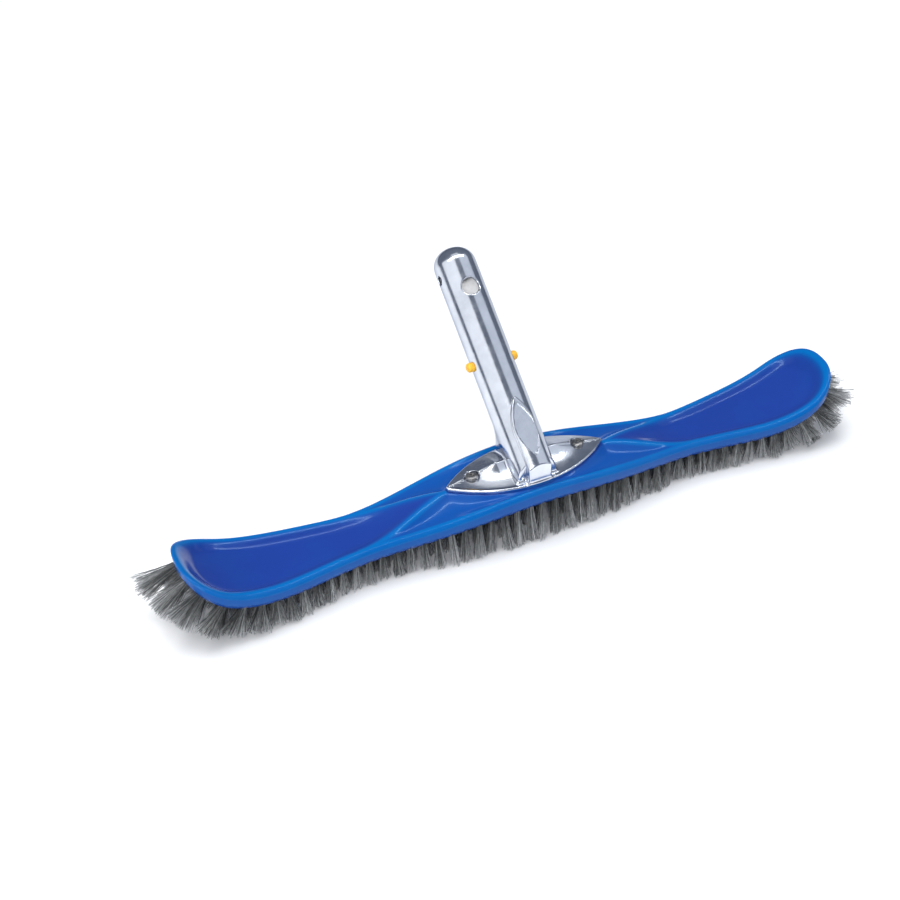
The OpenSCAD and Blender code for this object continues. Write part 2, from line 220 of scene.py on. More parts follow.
# ------------------------------------------------------------------ the moulded back
def build_back():
    V, F, rim_light_dish_shade = [], [], []
    near = [0, .12, .3, .55, .9, 1.3, 1.75, 2.2, 2.6, 3.0, 3.3, 3.6, 4.0, 4.5, 5.1, 5.8, 6.6, 7.5, 8.5, 9.6]
    rings = []
    for d in near:
        x, y = ring_at(d)
        rings.append((x, y, np.full(len(x), d)))
    inner_mid, inner_end = 1 - 9.6 / full_w(np.abs(xm)), 1 - 9.6 / W_END
    J = 18
    for j in range(1, J + 1):
        k = 1 - j / J
        x, y = ring(inner_mid * k, inner_end * k)
        rings.append((x, y, inset(np.abs(x), np.abs(y))))
    n = len(rings[0][0])
    # outer wall, from the bottom edge's round up to the rim
    x0, y0 = ring_at(0.0)
    lz = low_z(np.abs(x0)); tz = top_z(np.abs(x0), np.abs(y0))
    wall = []
    for o, dz in ((0.9, 0.0), (0.42, 0.12), (0.14, 0.4), (0.02, 0.9)):
        x, y = ring_at(o)
        wall.append(np.stack([x, y, low_z(np.abs(x)) + dz], 1))
    for q in (0.25, 0.5, 0.75):
        wall.append(np.stack([x0, y0, mix(lz + 0.9, tz, q)], 1))
    # painted light: the outer wall gets a mid value of the painted highlight-and-shade mask
    for p in wall: V.append(p); rim_light_dish_shade.append(np.ones(n) * 0.55)
    for x, y, d in rings:
        z = soft_top(x, y, d, 1.1 + 1.3 * ease((np.abs(x) - 45) / 25) * ease((140 - np.abs(x)) / 20))
        V.append(np.stack([x, y, z], 1))
        u, a = np.abs(x), np.abs(y)
        # painted highlight and shade: high on the rim crest and the vee ridges where highlights fall, low in the dishes
        # where shade falls
        rim = np.exp(-((d - 3.0) / 2.6) ** 2)
        a0 = np.where(u < VEE_X, 99, vee_y(u))
        ridge = np.exp(-((a - a0) / 3.0) ** 2) * (u > VEE_X) * (u < VEE_END + 4)
        outer = ((u < VEE_END) & (a > np.where(u < VEE_X, lens_y(u), vee_y(u)))) * 0.45
        rim_light_dish_shade.append(np.maximum(np.maximum(rim, ridge), np.maximum(outer, (d < 3.3) * 0.8)))
    P = np.concatenate(V)
    Q = grid_faces(len(V), n, close_c=True)
    o = mesh_object("moulded_back", P, Q)
    point_attr(o, "rim", np.concatenate(rim_light_dish_shade))
    return o, np.stack(ring_at(0.9), 1)

def build_underside(loop):
    """tuft block with round blind holes, from a constrained triangulation."""
    pts = [loop]
    edges = [np.stack([np.arange(len(loop)), (np.arange(len(loop)) + 1) % len(loop)], 1)]
    base = len(loop)
    NH = 20
    holes, hole_rows = [], []
    for (r, x, y, z, dv, fl) in roots:
        e1 = np.cross(dv, [0, 1, 0]); e1 /= np.linalg.norm(e1)
        e2 = np.cross(dv, e1)
        ph = np.linspace(0, 2 * np.pi, NH, endpoint=False)
        q = np.array([x, y, z]) + 2.1 * (np.cos(ph)[:, None] * e1 + np.sin(ph)[:, None] * e2)
        h = 0.5                                   # slide each point along the hole onto the block's plane here
        sl = float(low_z(np.array(abs(x) + h)) - low_z(np.array(abs(x) - h))) / (2 * h) * (1 if x > 0 else -1)
        t = (z + sl * (q[:, 0] - x) - q[:, 2]) / (dv[2] - sl * dv[0])
        q = q + t[:, None] * dv
        holes.append(q)
        pts.append(q[:, :2])
        edges.append(base + np.stack([np.arange(NH), (np.arange(NH) + 1) % NH], 1))
        hole_rows.append(np.arange(base, base + NH))
        base += NH
    centres = np.array([[h[:, 0].mean(), h[:, 1].mean()] for h in holes])
    polys = [h[:, :2] for h in holes]
    def in_hole(p, grow=1.0):
        hit = np.zeros(len(p), bool)
        for c, poly in zip(centres, polys):
            near = np.where(np.abs(p[:, 0] - c[0]) + np.abs(p[:, 1] - c[1]) < 9)[0]
            if not len(near): continue
            q = p[near]
            pg = c + (poly - c) * grow
            nx = np.roll(pg, -1, 0)
            cr = (nx[None, :, 0] - pg[None, :, 0]) * (q[:, None, 1] - pg[None, :, 1]) - (nx[None, :, 1] - pg[None, :, 1]) * (q[:, None, 0] - pg[None, :, 0])
            hit[near[(cr > 0).all(1) | (cr < 0).all(1)]] = True
        return hit
    extra = []
    for d in (1.25, 1.6, 1.95, 2.3, 3.2):
        x, y = ring_at(d)
        extra.append(np.stack([x, y], 1)[::2])
    gx, gy = np.meshgrid(np.arange(-226, 226.1, 3.0), np.arange(-26, 26.1, 3.0))
    g = np.stack([gx.ravel(), gy.ravel()], 1)
    g[:, 0] += (np.round(g[:, 1] / 3.0) % 2) * 1.5
    extra.append(g[inset(np.abs(g[:, 0]), np.abs(g[:, 1])) > 4.2])
    extra = np.concatenate(extra)
    extra = extra[(inset(np.abs(extra[:, 0]), np.abs(extra[:, 1])) > 1.1) & ~in_hole(extra, 1.28)]
    pts.append(extra)
    P2 = np.concatenate(pts)
    out = mgeo.delaunay_2d_cdt([Vector((float(a), float(b))) for a, b in P2], [(int(a), int(b)) for a, b in np.concatenate(edges)], [], 0, 1e-5)
    P = np.array([[v.x, v.y] for v in out[0]])
    T = np.array([f for f in out[2] if len(f) == 3])
    cen = P[T].mean(1)
    keep = (inset(np.abs(cen[:, 0]), np.abs(cen[:, 1])) > 0.88) & (np.abs(cen[:, 0]) < HALF_L) & ~in_hole(cen)
    T = T[keep]
    a, b, c = P[T[:, 0]], P[T[:, 1]], P[T[:, 2]]
    ar = (b[:, 0] - a[:, 0]) * (c[:, 1] - a[:, 1]) - (b[:, 1] - a[:, 1]) * (c[:, 0] - a[:, 0])
    T[ar > 0] = T[ar > 0][:, ::-1]
    Z = bottom_z(np.abs(P[:, 0]), np.abs(P[:, 1]))
    V = [np.column_stack([P, Z])]
    F = [np.column_stack([T, T[:, 2]])]
    n0 = len(P)
    for (r, x, y, z, dv, fl), q in zip(roots, holes):     # hole walls and bottoms
        deep = 3.4 if abs(x) > FAN_X else 4.6
        lay = [q, q - dv * 0.5, q - dv * deep, (q - dv * deep).mean(0)[None] + (q - q.mean(0)) * 0.05]
        lay[1] = q - dv * 0.5 - (q - q.mean(0)) * 0.06
        lay[2] = q - dv * deep - (q - q.mean(0)) * 0.08
        lay[3] = lay[2].mean(0) + (lay[2] - lay[2].mean(0)) * 0.02
        V.append(np.concatenate(lay))
        f = grid_faces(4, NH, close_c=True) + n0
        F.append(f)
        n0 += 4 * NH
    o = mesh_object("tuft_block", np.concatenate(V), np.concatenate(F))
    return o

back, loop = build_back()
under = build_underside(loop)
bpy.ops.object.select_all(action="DESELECT")
# painted shade: the underside gets a low value of the painted highlight-and-shade mask
point_attr(under, "rim", np.full(len(under.data.vertices), 0.3))
back.select_set(True); under.select_set(True)
bpy.context.view_layer.objects.active = back
bpy.ops.object.join()
clean(back, 2e-6)

# ------------------------------------------------------------------ the casting, from a distance field
LEAN = math.radians(51.2)
TY, TZ = math.sin(LEAN), math.cos(LEAN)
AXIS_Z = 53.5
TIP_ROUND = 12.0
def on_spigot(p):
    """points given as (local x, front, s) to the row frame"""
    p = np.asarray(p, float)
    return np.stack([p[..., 0], p[..., 2] * TY - p[..., 1] * TZ, AXIS_Z + p[..., 2] * TZ + p[..., 1] * TY], -1)
def smin(a, b, k):
    h = np.maximum(k - np.abs(a - b), 0) / k
    return np.minimum(a, b) - h * h * k * 0.25
def smax(a, b, k): return -smin(-a, -b, k)
def sstep(t): return ease(t)
def casting(x, y, z):
    hyp = np.hypot
    s = y * TY + (z - AXIS_Z) * TZ
    fr = -y * TZ + (z - AXIS_Z) * TY
    r = hyp(x, fr)
    ax = np.abs(x)
    rr = 14.0 - 0.06 * sstep((s - 53.2) / 2.2) * (1 - sstep((s - 65.2) / 2.2))
    vx, vs = r - (rr - TIP_ROUND), s - (139.48 - TIP_ROUND)
    tube = hyp(np.maximum(vx, 0), np.maximum(vs, 0)) + np.minimum(np.maximum(vx, vs), 0) - TIP_ROUND
    leaf = np.maximum(hyp(x - 26.25, s - 9.5), hyp(x + 26.25, s - 9.5)) - 34.25
    t2 = smin(leaf, np.maximum(ax - 8, s - 9.5), 0.6)
    tongue = smax(smax(t2, r - 15.1, 0.9), -fr, 0.3)
    ped = smax(smax(ax - 13, y - 17, 1.0), fr, 1.0)
    body = smin(smax(tube, -17.0 - y, 1.2), tongue, 0.5)
    body = smin(body, ped, 1.6)
    body = smax(body, -21.4 - y, 1.2)
    body = smax(body, 39.4 - z, 0.3)
    # flange: flat bright edge, then slopes to the ridge, hollowed at the front
    lens = np.maximum(hyp(x, y - 61.55), hyp(x, y + 61.55)) - 83.55
    lens = smax(lens, ax - 55.4, 1.0)
    ylim = np.sqrt(np.maximum(1, 83.55 ** 2 - np.minimum(ax, 56) ** 2)) - 61.55
    g_mid = np.abs(y) / np.maximum(0.5, ylim)
    dx, dy = np.maximum(ax - 21, 1e-3), np.abs(y)
    # gauge along the ray from the ridge's end to the outline: circle centre (0, -61.55), radius 83.55
    n = hyp(dx, dy); ux, uy = dx / n, dy / n
    bq = 21 * ux + 61.55 * uy
    cq = 21 ** 2 + 61.55 ** 2 - 83.55 ** 2
    ray = -bq + np.sqrt(np.maximum(0, bq * bq - cq))
    g = np.where(ax <= 21, g_mid, n / np.maximum(ray, 0.5))
    t = 1 - g
    tf = c01((t - 0.13) / 0.87)
    hf = 42.0 + 7.5 * (0.42 * tf + 0.58 * tf ** 2.2)
    hb = 42.0 + 7.5 * c01(t / 0.97)
    h = np.where(y < 0, hf, hb)
    flange = smax(smax(lens, (z - h) * 0.86, 1.1), 39.4 - z, 0.3)
    d = smin(body, flange, 2.2)
    # leaf-shaped inset
    leaf2 = np.maximum(hyp(x - 20.70, s - 9.5), hyp(x + 20.70, s - 9.5)) - 27.30
    d = smax(d, -np.maximum(leaf2, 13.35 - fr), 0.45)
    # core and the pocket under it
    core = np.maximum(np.maximum(r - 11.3, -5 - s), s - 132.5)
    d = smax(d, -core, 0.4)
    d = smax(d, -np.maximum(hyp(x, y + 2) - 9, z - 55.3), 0.5)
    # holes
    d = smax(d, -(hyp(s - 60.3, fr) - 3.24), 0.5)
    d = smax(d, -(hyp(x, s - 108.4) - 5.7), 1.0)
    d = smax(d, -(hyp(s - 120.7, fr) - 3.2), 0.7)
    hole = hyp(ax - 38, y)
    d = smax(d, -(hole - 2.4), 0.3)
    d = smax(d, -np.maximum(hole - 4.7, 43.9 - z), 0.9)
    return d

def surface_nets(fn, lo, hi, h):
    lo = np.array(lo, float)
    n = np.ceil((np.array(hi) - lo) / h).astype(int) + 1
    ax = [lo[k] + h * np.arange(n[k]) for k in range(3)]
    B = 6                                              # coarse blocks decide where to evaluate
    cc = [lo[k] + h * B * (np.arange(int(np.ceil(n[k] / B))) + 0.5) for k in range(3)]
    C = fn(*np.meshgrid(*cc, indexing="ij"))
    near = np.abs(C) < h * B * 1.25 + 1.2
    big = np.repeat(np.repeat(np.repeat(near, B, 0), B, 1), B, 2)[:n[0], :n[1], :n[2]]
    D = np.repeat(np.repeat(np.repeat(np.where(C < 0, -9.0, 9.0), B, 0), B, 1), B, 2)[:n[0], :n[1], :n[2]].astype(np.float32)
    I, J, K = np.nonzero(big)
    for a in range(0, len(I), 400000):
        i, j, k = I[a:a + 400000], J[a:a + 400000], K[a:a + 400000]
        D[i, j, k] = fn(ax[0][i], ax[1][j], ax[2][k])
    S = D < 0
    corner = [(0, 0, 0), (1, 0, 0), (0, 1, 0), (1, 1, 0), (0, 0, 1), (1, 0, 1), (0, 1, 1), (1, 1, 1)]
    def sub(A, c): return A[c[0]:n[0] - 1 + c[0], c[1]:n[1] - 1 + c[1], c[2]:n[2] - 1 + c[2]]
    cnt = np.zeros(tuple(n - 1), np.int8)
    for c in corner: cnt += sub(S, c)
    I, J, K = np.nonzero((cnt > 0) & (cnt < 8))
    idx = np.full(tuple(n - 1), -1, np.int32)
    idx[I, J, K] = np.arange(len(I))
    vals = np.stack([D[I + c[0], J + c[1], K + c[2]] for c in corner], 1)
    acc = np.zeros((len(I), 3)); num = np.zeros(len(I))
    for a in range(8):
        for b in range(a + 1, 8):
            ca, cb = np.array(corner[a]), np.array(corner[b])
            if np.abs(ca - cb).sum() != 1: continue
            va, vb = vals[:, a], vals[:, b]
            m = (va < 0) != (vb < 0)
            t = np.where(m, va / np.where(m, va - vb, 1), 0)
            acc += np.where(m[:, None], ca + t[:, None] * (cb - ca), 0)
            num += m
    P = lo + h * (np.stack([I, J, K], 1) + acc / num[:, None])
    quads = []
    for axis in range(3):
        e = [0, 0, 0]; e[axis] = 1
        o1, o2 = [(1, 2), (2, 0), (0, 1)][axis]
        A = S[:n[0] - e[0], :n[1] - e[1], :n[2] - e[2]]
        Bm = S[e[0]:, e[1]:, e[2]:]
        i = np.stack(np.nonzero(A != Bm), 1)
        i = i[(i[:, o1] > 0) & (i[:, o2] > 0) & (i[:, o1] < n[o1] - 1) & (i[:, o2] < n[o2] - 1)]
        def at(d1, d2):
            j = i.copy(); j[:, o1] -= d1; j[:, o2] -= d2
            return idx[j[:, 0], j[:, 1], j[:, 2]]
        q = np.stack([at(1, 1), at(0, 1), at(0, 0), at(1, 0)], 1)
        flip = ~S[i[:, 0], i[:, 1], i[:, 2]]
        q[flip] = q[flip][:, ::-1]
        quads.append(q)
    Q = np.concatenate(quads)
    return P, Q[(Q >= 0).all(1)]

def field_grad(fn, P, e=0.04):
    g = np.stack([fn(P[:, 0] + e, P[:, 1], P[:, 2]) - fn(P[:, 0] - e, P[:, 1], P[:, 2]),
                  fn(P[:, 0], P[:, 1] + e, P[:, 2]) - fn(P[:, 0], P[:, 1] - e, P[:, 2]),
                  fn(P[:, 0], P[:, 1], P[:, 2] + e) - fn(P[:, 0], P[:, 1], P[:, 2] - e)], 1)
    return g / (2 * e)
def settle(fn, P, Q, h, rounds=3):
    for k in range(rounds):
        acc = np.zeros_like(P); num = np.zeros(len(P))
        for a, b in ((0, 1), (1, 2), (2, 3), (3, 0)):
            np.add.at(acc, Q[:, a], P[Q[:, b]]); np.add.at(acc, Q[:, b], P[Q[:, a]])
            np.add.at(num, Q[:, a], 1); np.add.at(num, Q[:, b], 1)
        P = P + 0.5 * (acc / np.maximum(num, 1)[:, None] - P) * (0.8 if k < rounds - 1 else 0.3)
        for _ in range(2):
            g = field_grad(fn, P)
            st = fn(P[:, 0], P[:, 1], P[:, 2])[:, None] * g / np.maximum((g * g).sum(1), 0.2)[:, None]
            P = P - np.clip(st, -h, h)
    return P

H = 0.6
P, Q = surface_nets(casting, (-58.0, -23.6, 38.2), (58.0, 116.0, 150.4), H)
P = settle(casting, P, Q, H)
cast = mesh_object("spigot_casting", P, Q)
rad_c = np.hypot(P[:, 0], -P[:, 1] * TZ + (P[:, 2] - AXIS_Z) * TY)
s_c = P[:, 1] * TY + (P[:, 2] - AXIS_Z) * TZ
inner_c = c01((12.1 - rad_c) / 0.5) * (s_c > -3) * (s_c < 133.2)
point_attr(cast, "inner", inner_c)
# painted light: a near-white glowing patch inside the bore behind the cross hole
fr_c = -P[:, 1] * TZ + (P[:, 2] - AXIS_Z) * TY
point_attr(cast, "painted_bore_glow", inner_c * c01((P[:, 0] + 3) / 2) * c01((5 - fr_c) / 2) * c01((s_c - 99) / 2) * c01((120 - s_c) / 2))
bm = bmesh.new(); bm.from_mesh(cast.data)
bmesh.ops.recalc_face_normals(bm, faces=bm.faces)
bm.to_mesh(cast.data); bm.free()
cast.data.polygons.foreach_set("use_smooth", np.ones(len(cast.data.polygons), bool))
if len(cast.data.vertices) == len(P):
    g = field_grad(casting, P, 0.12)
    g /= np.maximum(np.linalg.norm(g, axis=1), 1e-9)[:, None]
    cast.data.normals_split_custom_set_from_vertices([tuple(v) for v in g])

# ------------------------------------------------------------------ wires
def wires(name, picked, seed):
    rng = np.random.default_rng(seed)
    V, F, SH, AL = [], [], [], []
    base = 0
    for (r, x, y, z, dv, fl) in picked:
        fan = abs(x) > 168
        seg = 17 if fan else 14
        n = (170 if fan else 88) // 1
        sp = float(ease((abs(x) - 150) / 50))
        e1 = np.cross(dv, [0, 1, 0]); e1 /= np.linalg.norm(e1)
        e2 = np.cross(dv, e1)
        root = np.array([x, y, z])
        tilt = rng.normal(0, 0.045 if not fan else 0.06, 2)          # this tuft leans a little its own way
        cut = rng.uniform(0, 1.5) if not fan else rng.uniform(0, 2.5) + 0.07 * fl * sp
        tshade = rng.normal(0, 0.10)
        rad = np.sqrt(rng.uniform(0, 1, n)); ph = rng.uniform(0, 2 * np.pi, n)
        o0 = np.stack([rad * np.cos(ph), rad * np.sin(ph)], 1) * 1.9
        wide = np.array([4.9 + 6.3 * sp, 4.0 + 4.6 * sp + 2.8 * float(ease((abs(x) - 200) / 18))])
        o1 = o0 / 1.9 * wide * rng.uniform(0.45, 1.05, n)[:, None] + rng.normal(0, 0.7, (n, 2)) + tilt * fl
        length = fl - cut - np.abs(rng.normal(0, 0.9, n)) - (rng.random(n) < 0.12) * rng.uniform(1, 5, n)
        t = np.linspace(0, 1, seg + 1)
        amp = rng.uniform(0.10, 0.30, n); lam = rng.uniform(5.0, 7.5, n)
        p1, p2 = rng.uniform(0, 6.28, n), rng.uniform(0, 6.28, n)
        pd = rng.uniform(0, 3.14, n)
        sdist = -3.0 + (length[:, None] + 3.0) * t[None, :]           # distance along, from 3 mm down the hole
        q = np.clip(sdist / fl, 0, 1)
        bow = rng.normal(0, 0.5, (n, 2))
        lat = o0[:, None, :] * (1 - q[..., None]) + o1[:, None, :] * q[..., None] ** 1.25 + bow[:, None, :] * (q * (1 - q) * 2)[..., None]
        w1 = amp[:, None] * np.sin(2 * np.pi * sdist / lam[:, None] + p1[:, None]) * q ** 0.3
        w2 = 0.4 * amp[:, None] * np.sin(2 * np.pi * sdist / (lam[:, None] * 1.37) + p2[:, None]) * q ** 0.3
        la = lat[..., 0] + w1 * np.cos(pd)[:, None] - w2 * np.sin(pd)[:, None]
        lb = lat[..., 1] + w1 * np.sin(pd)[:, None] + w2 * np.cos(pd)[:, None]
        c = root + sdist[..., None] * dv + la[..., None] * e1 + lb[..., None] * e2
        wr = 0.21
        a = np.array([0, 2.0944, 4.18879])
        ringo = wr * (np.cos(a)[:, None] * e1 + np.sin(a)[:, None] * e2)
        v = c[:, :, None, :] + ringo[None, None]
        V.append(v.reshape(-1, 3))
        k = seg + 1
        i, j, m = np.meshgrid(np.arange(n), np.arange(seg), np.arange(3), indexing="ij")
        m2 = (m + 1) % 3
        b0 = base + i * k * 3
        F.append(np.stack([b0 + j * 3 + m, b0 + j * 3 + m2, b0 + (j + 1) * 3 + m2, b0 + (j + 1) * 3 + m], -1).reshape(-1, 4))
        i = np.arange(n); b0 = base + i * k * 3
        F.append(np.stack([b0 + 2, b0 + 1, b0, b0], 1))
        b1 = b0 + seg * 3
        F.append(np.stack([b1, b1 + 1, b1 + 2, b1 + 2], 1))
        sh = np.clip(0.5 + tshade + rng.normal(0, 0.30, n), 0, 1)
        # along: fraction along each wire, used to paint shade at the roots and light at the tips
        SH.append(np.repeat(sh, k * 3)); AL.append(np.repeat(q.reshape(-1), 3))
        base += n * k * 3
    V = np.concatenate(V)
    lo, hi = np.array(cad_lo) / MM + 0.05, np.array(cad_hi) / MM - 0.05
    V = np.clip(V, lo, hi)
    o = mesh_object(name, V, np.concatenate(F))
    point_attr(o, "shade", np.concatenate(SH))
    point_attr(o, "along", np.concatenate(AL))
    return o

wire_objs = []
for r in range(5):
    o = wires("wires_row_%d" % (r + 1), [q for q in roots if q[0] == r and abs(q[1]) < FAN_X], 11 + r)
    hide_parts("tufts_row_%d" % (r + 1))
    wire_objs.append(o)
for side, label, sd in ((-1, "left", 31), (1, "right", 32)):
    o = wires("wires_%s_fan" % label, [q for q in roots if side * q[1] > FAN_X], sd)
    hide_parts("tufts_%s_fan" % label)
    wire_objs.append(o)

# ------------------------------------------------------------------ lathed small parts
def lathe(name, profile, to_frame, n=64):
    """profile: closed list of (radius, height); to_frame maps (x, y, h) local points to the row frame"""
    pr = np.array(profile, float)
    a = np.linspace(0, 2 * np.pi, n, endpoint=False)
    pts = np.stack([pr[:, None, 0] * np.cos(a), pr[:, None, 0] * np.sin(a), np.broadcast_to(pr[:, None, 1], (len(pr), n))], -1)
    o = mesh_object(name, to_frame(pts.reshape(-1, 3)), grid_faces(len(pr), n, close_c=True))
    clean(o, 1e-6)
    return o
def arc(cx, cy, r, a0, a1, n):
    return [(cx + r * math.cos(math.radians(a)), cy + r * math.sin(math.radians(a))) for a in np.linspace(a0, a1, n)]

def button(name, side):
    prof = [(0, 4.75)] + arc(1.5, 5.15, 0.6, -60, 80, 7)[0:1] + [(2.0, 4.95), (2.1, 5.15), (2.0, 5.35), (1.3, 5.45), (1.3, 7.35), (1.35, 7.42)]
    prof += [(4.1, 7.42)] + arc(4.1, 7.72, 0.3, -90, 0, 5) + arc(4.1, 9.8, 0.3, 0, 90, 5) + [(3.35, 10.1), (3.15, 10.3)]
    prof += [(3.15, 15.8)] + arc(0.95, 15.8, 2.2, 0, 90, 14) + [(0.4, 18.0), (0, 18.0)]
    def place(p):
        return on_spigot(np.stack([side * p[:, 2], p[:, 1], 60.3 + p[:, 0]], -1))
    return lathe(name, prof, place)
btn_l, btn_r = button("button_left", -1), button("button_right", 1)
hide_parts("lock_button_left"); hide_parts("lock_button_right")

def screw(name, sx):
    zb = SEAT_Z
    prof = [(0, zb - 8), (0.8, zb - 8)]
    for k in range(9):                                   # thread, inside the plastic
        h = zb - 7.4 + k * 0.75
        rr = min(2.0, 1.0 + 0.35 * k)
        prof += [(rr * 0.72, h), (rr, h + 0.3), (rr * 0.72, h + 0.6)]
    prof += [(2.0, zb - 0.4), (2.0, zb + 4.7), (3.6, zb + 4.7)] + arc(3.5, zb + 5.1, 0.4, -80, 0, 5)
    prof += [(3.9, zb + 5.7)]
    for q in np.linspace(0, 1, 40):                       # domed pan head, to its centre
        a = math.pi / 2 * q
        prof.append((3.9 * math.cos(a) ** 0.75, zb + 5.7 + 1.18 * math.sin(a) ** 0.9))
    n = 96
    pr = np.array(prof)
    a = np.linspace(0, 2 * np.pi, n, endpoint=False)
    X, Y = pr[:, None, 0] * np.cos(a), pr[:, None, 0] * np.sin(a)
    Zz = np.broadcast_to(pr[:, None, 1], X.shape).copy()
    c, s_ = math.cos(math.radians(24)), math.sin(math.radians(24))
    xa, ya = X * c + Y * s_, -X * s_ + Y * c
    arm = np.minimum(np.maximum(np.abs(xa) - 2.0, np.abs(ya) - 0.48), np.maximum(np.abs(ya) - 2.0, np.abs(xa) - 0.48))
    top = Zz > zb + 5.72
    Zz = np.where(top, Zz - 1.25 * ease(-(arm - 0.1) / 0.28) * (1 - 0.25 * np.hypot(X, Y) / 2.0), Zz)
    pts = np.stack([X + sx, Y, Zz], -1).reshape(-1, 3)
    o = mesh_object(name, pts, grid_faces(len(pr), n, close_c=True))
    clean(o, 1e-6)
    return o
scr_l, scr_r = screw("flange_screw_left", -38.0), screw("flange_screw_right", 38.0)
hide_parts("screw_left"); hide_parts("screw_right")

def spring_half(name, side):
    leg_x, bend_s, bend_r = 6.4, 24.0, 2.6
    la = math.atan((leg_x - bend_r) / (60.3 - bend_s))
    ll = (60.3 - bend_s) / math.cos(la) + 7
    cx = [(bend_r * math.cos(a), bend_s + bend_r * math.sin(a)) for a in np.linspace(-math.pi / 2, -la, 10)]
    end = (bend_r * math.cos(la) + ll * math.sin(la), bend_s + ll * math.cos(la) - bend_r * math.sin(la))
    path = np.array(cx + [tuple(mix(np.array(cx[-1]), np.array(end), q)) for q in np.linspace(0, 1, 30)[1:]])
    tan = np.gradient(path, axis=0); tan /= np.linalg.norm(tan, axis=1)[:, None]
    nor = np.stack([tan[:, 1], -tan[:, 0]], 1)
    sec = [(0.4, -3.2), (0.4, 3.2), (0.3, 3.42), (0.12, 3.5), (-0.12, 3.5), (-0.3, 3.42), (-0.4, 3.2), (-0.4, -3.2), (-0.3, -3.42), (-0.12, -3.5), (0.12, -3.5), (0.3, -3.42)]
    dist = np.concatenate([[0], np.cumsum(np.linalg.norm(np.diff(path, axis=0), axis=1))])
    nar = np.minimum(1, np.sqrt(np.maximum(0.02, 1 - np.maximum(0, (dist - (dist[-1] - 3)) / 3) ** 2)))    # rounded free end
    pts = np.array([[(side * (p[0] + nn[0] * o), f * w, p[1] + nn[1] * o) for o, f in sec] for p, nn, w in zip(path, nor, nar)])
    pts = np.concatenate([pts, pts[-1:].mean(1, keepdims=True).repeat(len(sec), 1)])
    o = mesh_object(name, on_spigot(pts.reshape(-1, 3)), grid_faces(len(pts), len(sec), close_c=True))
    clean(o, 1e-6)
    return o
spr_l, spr_r = spring_half("spring_leg_left", -1), spring_half("spring_leg_right", 1)
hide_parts("v_spring")

# ------------------------------------------------------------------ materials
def new_mat(name):
    m = bpy.data.materials.new(name)
    m.use_nodes = True
    nt = m.node_tree
    return m, nt, nt.nodes["Principled BSDF"]
def node(nt, kind, **kw):
    n = nt.nodes.new(kind)
    for k, v in kw.items(): setattr(n, k, v)
    return n
def noise(nt, scale, detail=4.0, rough=0.5, coord=None):
    tc = nt.nodes.new("ShaderNodeTexCoord")
    n = nt.nodes.new("ShaderNodeTexNoise")
    n.inputs["Scale"].default_value = scale
    n.inputs["Detail"].default_value = detail
    n.inputs["Roughness"].default_value = rough
    if coord is not None:
        mp = nt.nodes.new("ShaderNodeMapping")
        mp.inputs["Scale"].default_value = coord[0]
        mp.inputs["Rotation"].default_value = coord[1]
        nt.links.new(tc.outputs["Object"], mp.inputs["Vector"])
        nt.links.new(mp.outputs["Vector"], n.inputs["Vector"])
    else:
        nt.links.new(tc.outputs["Object"], n.inputs["Vector"])
    return n
def remap(nt, src, a, b, lo, hi):
    m = node(nt, "ShaderNodeMapRange")
    m.inputs["From Min"].default_value, m.inputs["From Max"].default_value = a, b
    m.inputs["To Min"].default_value, m.inputs["To Max"].default_value = lo, hi
    nt.links.new(src, m.inputs["Value"])
    return m.outputs["Result"]
def ramp(nt, src, stops):
    r = node(nt, "ShaderNodeValToRGB")
    while len(r.color_ramp.elements) < len(stops): r.color_ramp.elements.new(0.5)
    for e, (p, c) in zip(r.color_ramp.elements, stops):
        e.position = p; e.color = (*c, 1)
    nt.links.new(src, r.inputs["Fac"])
    return r.outputs["Color"]
def bump(nt, bsdf, src, strength, dist):
    b = node(nt, "ShaderNodeBump")
    b.inputs["Strength"].default_value = strength
    b.inputs["Distance"].default_value = dist
    nt.links.new(src, b.inputs["Height"])
    nt.links.new(b.outputs["Normal"], bsdf.inputs["Normal"])
    return b

def blue_plastic():
    m, nt, b = new_mat("glossy_blue_plastic")
    # the rim attribute paints light into the base colour: lighter cyan on rims and ridges as a painted highlight,
    # darker violet in the dishes and underside as painted shade
    at = node(nt, "ShaderNodeAttribute", attribute_name="rim")
    n1 = noise(nt, 38, 3)
    mixf = node(nt, "ShaderNodeMath", operation="ADD")
    nt.links.new(at.outputs["Fac"], mixf.inputs[0])
    nt.links.new(remap(nt, n1.outputs["Fac"], 0.3, 0.7, -0.07, 0.07), mixf.inputs[1])
    col = ramp(nt, mixf.outputs[0], [(0.0, (0.012, 0.042, 0.26)), (0.5, (0.005, 0.072, 0.32)), (1.0, (0.0005, 0.125, 0.40))])
    nt.links.new(col, b.inputs["Base Color"])
    n2 = noise(nt, 240, 5, 0.6)
    nt.links.new(remap(nt, n2.outputs["Fac"], 0.3, 0.75, 0.11, 0.20), b.inputs["Roughness"])
    b.inputs["IOR"].default_value = 1.5
    b.inputs["Specular IOR Level"].default_value = 0.24
    b.inputs["Specular Tint"].default_value = (0.55, 0.8, 1.0, 1)
    n3 = noise(nt, 55, 2, 0.4)
    n4 = noise(nt, 1500, 2, 0.5)
    add = node(nt, "ShaderNodeMath", operation="MULTIPLY_ADD")
    nt.links.new(n4.outputs["Fac"], add.inputs[0]); add.inputs[1].default_value = 0.05
    nt.links.new(n3.outputs["Fac"], add.inputs[2])
    bump(nt, b, add.outputs[0], 0.06, 0.0006)
    return m
